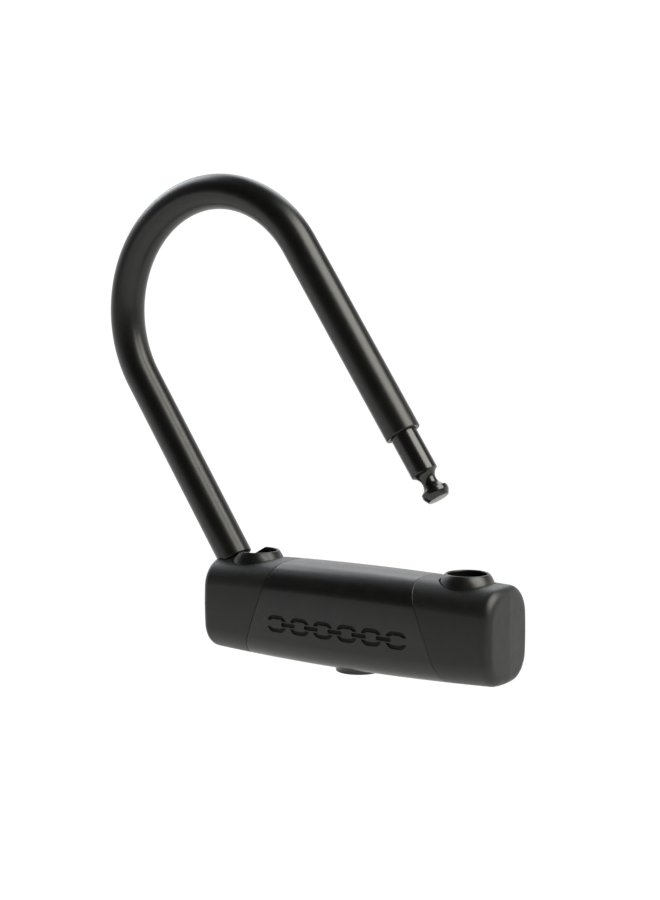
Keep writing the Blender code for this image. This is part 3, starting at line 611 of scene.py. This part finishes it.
def leg_channel(name, radius, start, mat):
    """The room that the hinged leg swings through: round under the open leg, with upright sides."""
    angles = [math.pi * k / CHANNEL_STEPS for k in range(1, CHANNEL_STEPS)]
    trough = [(-radius * math.cos(angle), radius * math.sin(angle)) for angle in angles]
    rings = []
    for along in (start, CHANNEL_END):
        rise = max(along * math.tan(OPEN_TILT), 0.1 * MM)
        section = [(-radius, -rise), (-radius, 0.0)] + trough + [(radius, 0.0), (radius, -rise)]
        ring = []
        for y, below in section:
            x, z = beside_leg(along, below)
            ring.append(Vector((x, y, z)))
        rings.append(ring)
    return finish_piece(name, loft(rings), [mat])


def stem_channel(mat):
    """The room for the bare steel between the hinge and the coating."""
    return leg_channel("stem_channel", STEEL_RADIUS + LEG_CLEARANCE, 0.0, mat)


def past_shoulder(name, start, half_width, below, mat):
    """Everything past a plane square to the open leg, down to a distance below the leg's axis."""
    outline = [beside_leg(start, -PAST_ALL), beside_leg(start, below),
               beside_leg(start + PAST_ALL, below), beside_leg(start + PAST_ALL, -PAST_ALL)]
    return finish_piece(name, prism(outline, -half_width, half_width, across), [mat])


def collar_hole(x, mat):
    """The hole in a cap, which hugs the collar's flange."""
    return round_hole("collar_hole", FLANGE_RADIUS + HUG, x, HOLE_LOW, HOLE_HIGH, mat)


def cap_solid(name, rows, side, plastic):
    """A closed solid from rings that begin at a cap's end face, with the end's two faces."""
    if side < 0:
        rows = [[Vector((-p.x, p.y, p.z)) for p in row] for row in rows]
    bm = loft(rows, caps=False)
    bm.verts.ensure_lookup_table()
    count = len(SECTION)
    ring = bm.verts[:count]
    first, second = [i for i in range(count) if abs(ring[i].co.y) < ON_MIDDLE]
    bm.faces.new(ring[first:second + 1])
    bm.faces.new(ring[second:] + ring[:first + 1])
    bm.faces.new(bm.verts[-count:])
    return finish_piece(name, bm, [plastic])


def channel_lining(plastic):
    """Plastic that lines the tube's notch, inside the left cap's outline."""
    lining = cap_solid("lining", cap_rows()[:-2], -1, plastic)
    reach = COAT_RADIUS + POCKET_CLEARANCE - NOTCH_GAP
    notch = past_shoulder("notch", SHOULDER - POCKET_CLEARANCE + NOTCH_GAP, reach, reach, plastic)
    carve(lining, [notch], "INTERSECT")
    return lining


def sharpen_ridge(obj):
    """Keep the crease where an end's two faces meet."""
    limit = BAR_HALF_LENGTH - END_FILLET / 2
    mesh = obj.data
    sharp = mesh.attributes.get("sharp_edge") or mesh.attributes.new("sharp_edge", "BOOLEAN", "EDGE")
    for edge in mesh.edges:
        a, b = (mesh.vertices[i].co for i in edge.vertices)
        if max(abs(a.y), abs(b.y)) < ON_MIDDLE and min(abs(a.x), abs(b.x)) > limit:
            sharp.data[edge.index].value = True


def build_cap(name, side, plastic, node):
    """An end cap with its collar's hole and, on the left, the channel for the hinged leg."""
    obj = cap_solid(name, cap_rows(), side, plastic)
    hole = collar_hole(side * LEG_X, plastic)
    if side < 0:
        carve(obj, [channel_lining(plastic)], "UNION")
        carve(hole, [past_shoulder("hole_end", COLLAR_CUT + HUG, CAP_SPAN, PAST_ALL, plastic)])
        coat_channel = leg_channel("coat_channel", COAT_RADIUS + LINING_CLEARANCE,
                                   SHOULDER - COAT_END_CLEARANCE, plastic)
        carve(obj, [hole, stem_channel(plastic), coat_channel])
    else:
        carve(obj, [hole])
    sharpen_ridge(obj)
    settle_normals(obj)
    place(obj, "crossbar", "black_plastic", node)


# --- Collars ---------------------------------------------------------------
def collar_profile():
    """A socket with a flange low down, rounded over into a cone that stands out of the cap."""
    base, crest = math.radians(SWELL_BASE), math.radians(SWELL_CREST)
    swell = (FLANGE_RADIUS - COLLAR_THROAT - COLLAR_LIP * (1 + math.cos(crest))) \
        / (math.cos(base) - math.cos(crest))
    center_r = FLANGE_RADIUS - swell * math.cos(base)
    center_z = RIM_HEIGHT - COLLAR_LIP + (COLLAR_LIP - swell) * math.sin(crest)
    profile = [(SOCKET_RADIUS, COLLAR_LOW), (COLLAR_RADIUS, COLLAR_LOW),
               (COLLAR_RADIUS, FLANGE_LOW), (FLANGE_RADIUS, FLANGE_LOW)]
    profile += arc(center_r, center_z, swell, SWELL_BASE, SWELL_CREST, 16)
    profile += arc(COLLAR_THROAT + COLLAR_LIP, RIM_HEIGHT - COLLAR_LIP, COLLAR_LIP, SWELL_CREST, 180, 12)[1:]
    profile += [(COLLAR_THROAT, RIM_HEIGHT - THROAT_DEPTH), (SOCKET_RADIUS, RIM_HEIGHT - THROAT_END)]
    return profile


def build_collar(name, side, steel, node):
    """A socket collar; the left one is cut open for the hinged leg."""
    bm = turned(collar_profile(), FINE_ROUND, closed=True, x=side * LEG_X)
    obj = finish_piece(name, bm, [steel], 40.0)
    if side < 0:
        end = past_shoulder("collar_end", COLLAR_CUT, FLANGE_RADIUS + 5 * MM, PAST_ALL, steel)
        carve(obj, [stem_channel(steel), end], sharp=40.0)
    settle_normals(obj)
    place(obj, "crossbar", "black_steel", node)


# --- Keyway ----------------------------------------------------------------
def rounded_band(node, inner, outer, edge):
    """Profile of a ring as high as its node, with rounded edges at the bottom."""
    low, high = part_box(node)[0].z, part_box(node)[1].z
    return [(outer, high)] + arc(outer - edge, low + edge, edge, 0, -90) \
        + arc(inner + edge, low + edge, edge, -90, -180) + [(inner, high)]


def rounded_disc(node, inner, outer, edge):
    """Profile of a disc as high as its node, with a rounded edge at the bottom."""
    low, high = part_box(node)[0].z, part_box(node)[1].z
    return [(outer, high)] + arc(outer - edge, low + edge, edge, 0, -90) + [(inner, low), (inner, high)]


def slot_cutter(node, mat):
    """The key's slot, through the whole height of a node."""
    low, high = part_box(node)[0].z - 1 * MM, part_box(node)[1].z + 1 * MM
    outline = []
    for sx, sy, first in ((1, 1, 0), (-1, 1, 90), (-1, -1, 180), (1, -1, 270)):
        outline += [(sx * (SLOT_HALF_LENGTH - SLOT_CORNER) + u, sy * (SLOT_HALF_WIDTH - SLOT_CORNER) + v)
                    for u, v in arc(0, 0, SLOT_CORNER, first, first + 90, 4)]
    return finish_piece("slot", prism(outline, low, high, upright), [mat])


def build_keyway(satin):
    """The ring in the boss, and the turning cover with the key's slot."""
    band = rounded_band("guard_ring", GUARD_INNER, GUARD_OUTER, GUARD_EDGE)
    ring = finish_piece("guard_collar", turned(band, closed=True), [satin])
    settle_normals(ring)
    place(ring, "crossbar", "black_steel", "guard_ring")
    cover = rounded_disc("keyway_shutter", SHUTTER_CENTER, SHUTTER_RADIUS, SHUTTER_EDGE)
    disc = finish_piece("shutter_disc", turned(cover), [satin])
    carve(disc, [slot_cutter("keyway_shutter", satin)])
    settle_normals(disc)
    place(disc, "shutter", "black_steel", "keyway_shutter")


# --- Shackle ---------------------------------------------------------------
OPEN = Matrix.Translation((-LEG_X, 0, 0)) @ Euler((0, -OPEN_TILT, 0)).to_matrix().to_4x4()


def rod_ring(center, outward, radius):
    """A round section of the shackle."""
    return [center + radius * (math.cos(math.tau * k / ROD_SIDES) * outward
                               + math.sin(math.tau * k / ROD_SIDES) * Vector((0, 1, 0)))
            for k in range(ROD_SIDES)]


def u_rings(leg_profile, bend_radius):
    """Rings up the left leg, round the bend and down the right, with the lock closed."""
    rings = [rod_ring(Vector((0, 0, z)), Vector((-1, 0, 0)), radius) for z, radius in leg_profile]
    for k in range(BEND_STEPS + 1):
        angle = math.pi * k / BEND_STEPS
        outward = Vector((-math.cos(angle), 0, math.sin(angle)))
        rings.append(rod_ring(Vector((LEG_X, 0, BEND_HEIGHT)) + LEG_X * outward, outward, bend_radius))
    rings += [rod_ring(Vector((LEG_SPACING, 0, z)), Vector((1, 0, 0)), radius)
              for z, radius in reversed(leg_profile)]
    return rings


def foot_profile():
    """(z, radius) of a foot: the turned head, the round neck groove, and the stem up to the leg."""
    points = [(HEAD_LOW + up * MM, radius * MM) for up, radius in HEAD_STEPS]
    groove_center = NECK_RADIUS + NECK_ARC
    limit = math.acos((groove_center - STEEL_RADIUS) / NECK_ARC) - math.radians(1.5)
    for k in range(NECK_STEPS + 1):
        angle = limit * (2 * k / NECK_STEPS - 1)
        points.append((NECK_ARC * math.sin(angle), groove_center - NECK_ARC * math.cos(angle)))
    groove_end = NECK_ARC * math.sin(limit)        # from here the groove's edge eases into the stem
    points += [(groove_end + 0.3 * MM, STEEL_RADIUS - 0.02 * MM), (groove_end + 0.8 * MM, STEEL_RADIUS)]
    points += [(SHOULDER - 1 * MM, STEEL_RADIUS), (LEG_RING, STEEL_RADIUS)]
    return points


def build_rod(steel):
    """The steel U with a turned foot on each leg."""
    rod = finish_piece("shackle_rod", loft(u_rings(foot_profile(), STEEL_RADIUS)), [steel], 40.0)
    rod.data.transform(OPEN)
    settle_normals(rod)
    place(rod, "shackle", "black_steel", "shackle_core")


def build_coat(coating):
    """The coating: its outside with rounded ends, and its bore round the steel."""
    outer = [(z, radius) for radius, z
             in arc(COAT_RADIUS - COAT_LIP, SHOULDER + COAT_LIP, COAT_LIP, -90, 0, 6)]
    outer += [(LEG_RING, COAT_RADIUS)]
    bore = STEEL_RADIUS + HUG
    inner = [(SHOULDER, bore + BORE_MOUTH), (SHOULDER + MOUTH_DEPTH, bore), (LEG_RING, bore)]
    rings = u_rings(outer, COAT_RADIUS) + u_rings(inner, bore)[::-1]
    coat = finish_piece("shackle_coat", loft(rings, closed=True), [coating], 40.0)
    coat.data.transform(OPEN)
    place(coat, "shackle", "soft_coating", "shackle_sleeve")


# --- Camera, light and floor -----------------------------------------------
def build_camera():
    """A long lens, to the right of the front and looking slightly down."""
    data = bpy.data.cameras.new("camera")
    data.sensor_width = CAMERA_SENSOR
    data.lens = CAMERA_LENS
    data.clip_start, data.clip_end = 0.01, 50.0
    cam = bpy.data.objects.new("camera", data)
    bpy.context.scene.collection.objects.link(cam)
    forward = Vector((-math.sin(CAMERA_AZIMUTH) * math.cos(CAMERA_ELEVATION),
                      math.cos(CAMERA_AZIMUTH) * math.cos(CAMERA_ELEVATION), -math.sin(CAMERA_ELEVATION)))
    cam.rotation_mode = "QUATERNION"
    cam.rotation_quaternion = forward.to_track_quat("-Z", "Y") @ Quaternion((0, 0, 1), CAMERA_ROLL)
    cam.location = CAMERA_PLACE
    bpy.context.scene.camera = cam


def toward(azimuth, elevation):
    """A direction, with its azimuth in degrees from +X towards +Y."""
    azimuth, elevation = math.radians(azimuth), math.radians(elevation)
    return Vector((math.cos(azimuth) * math.cos(elevation),
                   math.sin(azimuth) * math.cos(elevation), math.sin(elevation)))


def softbox(name, azimuth, elevation, spread_deg, radiance, color):
    """A softbox seen from the lock in a given direction, over a given width and height in degrees."""
    data = bpy.data.lights.new(name, "AREA")
    data.shape = "RECTANGLE"
    data.size, data.size_y = [2 * LIGHT_DISTANCE * math.tan(math.radians(a / 2)) for a in spread_deg]
    data.energy = radiance * math.pi * data.size * data.size_y
    data.color = color
    light = bpy.data.objects.new(name, data)
    bpy.context.scene.collection.objects.link(light)
    outward = toward(azimuth, elevation) * LIGHT_DISTANCE
    light.location = LIT_POINT + outward
    light.rotation_mode = "QUATERNION"
    light.rotation_quaternion = outward.to_track_quat("Z", "Y")
    light.visible_camera = False


def build_lights():
    """A strong warm box on the right, and cool ones behind and on the left, all above the lock."""
    softbox("right_softbox", 5, 46, (46, 48), 7.1, WARM)
    softbox("back_softbox", 108, 47, (28, 32), 1.5, COOL)
    softbox("strip_softbox", 132, 35, (54, 28), 1.95, COOL)
    softbox("left_softbox", 168, 35, (30, 30), 3.2, COOL)


def facing(tree, vector, azimuth):
    """How far a vector reaches in a level direction."""
    node = tree.nodes.new("ShaderNodeVectorMath")
    node.operation = "DOT_PRODUCT"
    node.inputs[1].default_value = toward(azimuth, 0)
    tree.links.new(vector, node.inputs[0])
    return node.outputs["Value"]


def fade(tree, source, span, levels):
    """Move smoothly between two levels over a span of a value."""
    return map_range(tree, source, span, levels, "SMOOTHSTEP")


def combine(tree, operation, first, second):
    """Arithmetic on two values, each a socket or a number."""
    node = tree.nodes.new("ShaderNodeMath")
    node.operation = operation
    for socket, value in zip(node.inputs, (first, second)):
        if isinstance(value, float):
            socket.default_value = value
        else:
            tree.links.new(value, socket)
    return node.outputs[0]


def build_floor():
    """A pale disc whose colour holds painted shade and painted light: darker where the lights are strongest and
    near white far behind the lock, where they reach little, so that it renders evenly white.
    """
    bm = bmesh.new()
    bmesh.ops.create_circle(bm, cap_ends=True, segments=ROUND, radius=FLOOR_RADIUS)
    mat, tree, shader = node_material("pale_floor", (0.76, 0.76, 0.76), 0.9, specular=0.1)
    ground = tree.nodes.new("ShaderNodeTexCoord").outputs["Object"]
    # painted shade under the lights and painted light far behind, mixed into the floor's colour
    near = fade(tree, facing(tree, ground, LIT_AZIMUTH), LIT_SPAN, LIT_SHADES)
    far = fade(tree, facing(tree, ground, FAR_AZIMUTH), FAR_SPAN, FAR_SHADES)
    tree.links.new(combine(tree, "MAXIMUM", near, far), shader.inputs["Base Color"])
    floor = finish_piece("floor", bm, [mat])
    floor.location = (0, 0, BOSS_LOW - FLOOR_DROP)


def build_world():
    """A white backdrop on every side for the camera. Its light comes from below the horizon and low
    behind the lock, and the room overhead and in front of it stays dark."""
    world = bpy.data.worlds.new("studio")
    world.use_nodes = True
    tree = world.node_tree
    sky = tree.nodes.new("ShaderNodeTexCoord").outputs["Generated"]
    split = tree.nodes.new("ShaderNodeSeparateXYZ")
    tree.links.new(sky, split.inputs["Vector"])
    height = split.outputs["Z"]
    ground = fade(tree, height, GROUND_SPAN, (1.0, 0.0))
    back = fade(tree, facing(tree, sky, BEHIND_AZIMUTH), BEHIND_SPAN, (0.0, 1.0))
    behind = combine(tree, "MULTIPLY", back, fade(tree, height, BAND_SPAN, (1.0, 0.0)))
    level = combine(tree, "MULTIPLY", combine(tree, "MAXIMUM", ground, behind), BACKDROP_LEVEL)
    level = combine(tree, "ADD", level, ROOM_LEVEL)
    seen = tree.nodes.new("ShaderNodeLightPath").outputs["Is Camera Ray"]
    background = tree.nodes["Background"]
    background.inputs["Color"].default_value = (1.0, 1.0, 1.0, 1.0)
    tree.links.new(combine(tree, "MAXIMUM", level, seen), background.inputs["Strength"])
    bpy.context.scene.world = world


def main():
    """Finish the CAD pieces, put the finer outside over them, and set the stage."""
    sleeve_plastic = moulded_plastic("sleeve_plastic", 0.5, 0.29, 0.34)
    cap_plastic = moulded_plastic("cap_plastic", 0.48, 0.41, 0.47)
    coating = shackle_coating()
    plated = plated_steel()
    satin = blackened_steel()
    finishes = {"black_plastic": sleeve_plastic, "soft_coating": coating, "black_steel": plated,
                "bare_steel": machined_steel(), "lock_brass": machined_brass(),
                "bumper_rubber": bumper_rubber()}
    for part in frame["record"]["subparts"]:
        node = frame["nodes"][part["node"]]
        node.data.materials.clear()
        node.data.materials.append(finishes[part["material_slot"]])

    build_sleeve(sleeve_plastic, recess_plastic())
    build_cap("left_cap_shell", -1, cap_plastic, "left_end_cap")
    build_cap("right_cap_shell", 1, cap_plastic, "right_end_cap")
    build_collar("left_socket_collar", -1, satin, "left_collar")
    build_collar("right_socket_collar", 1, satin, "right_collar")
    build_keyway(satin)
    build_rod(plated)
    build_coat(coating)

    build_camera()
    build_floor()
    build_lights()
    build_world()
    bpy.context.scene.view_settings.view_transform = "Standard"


main()
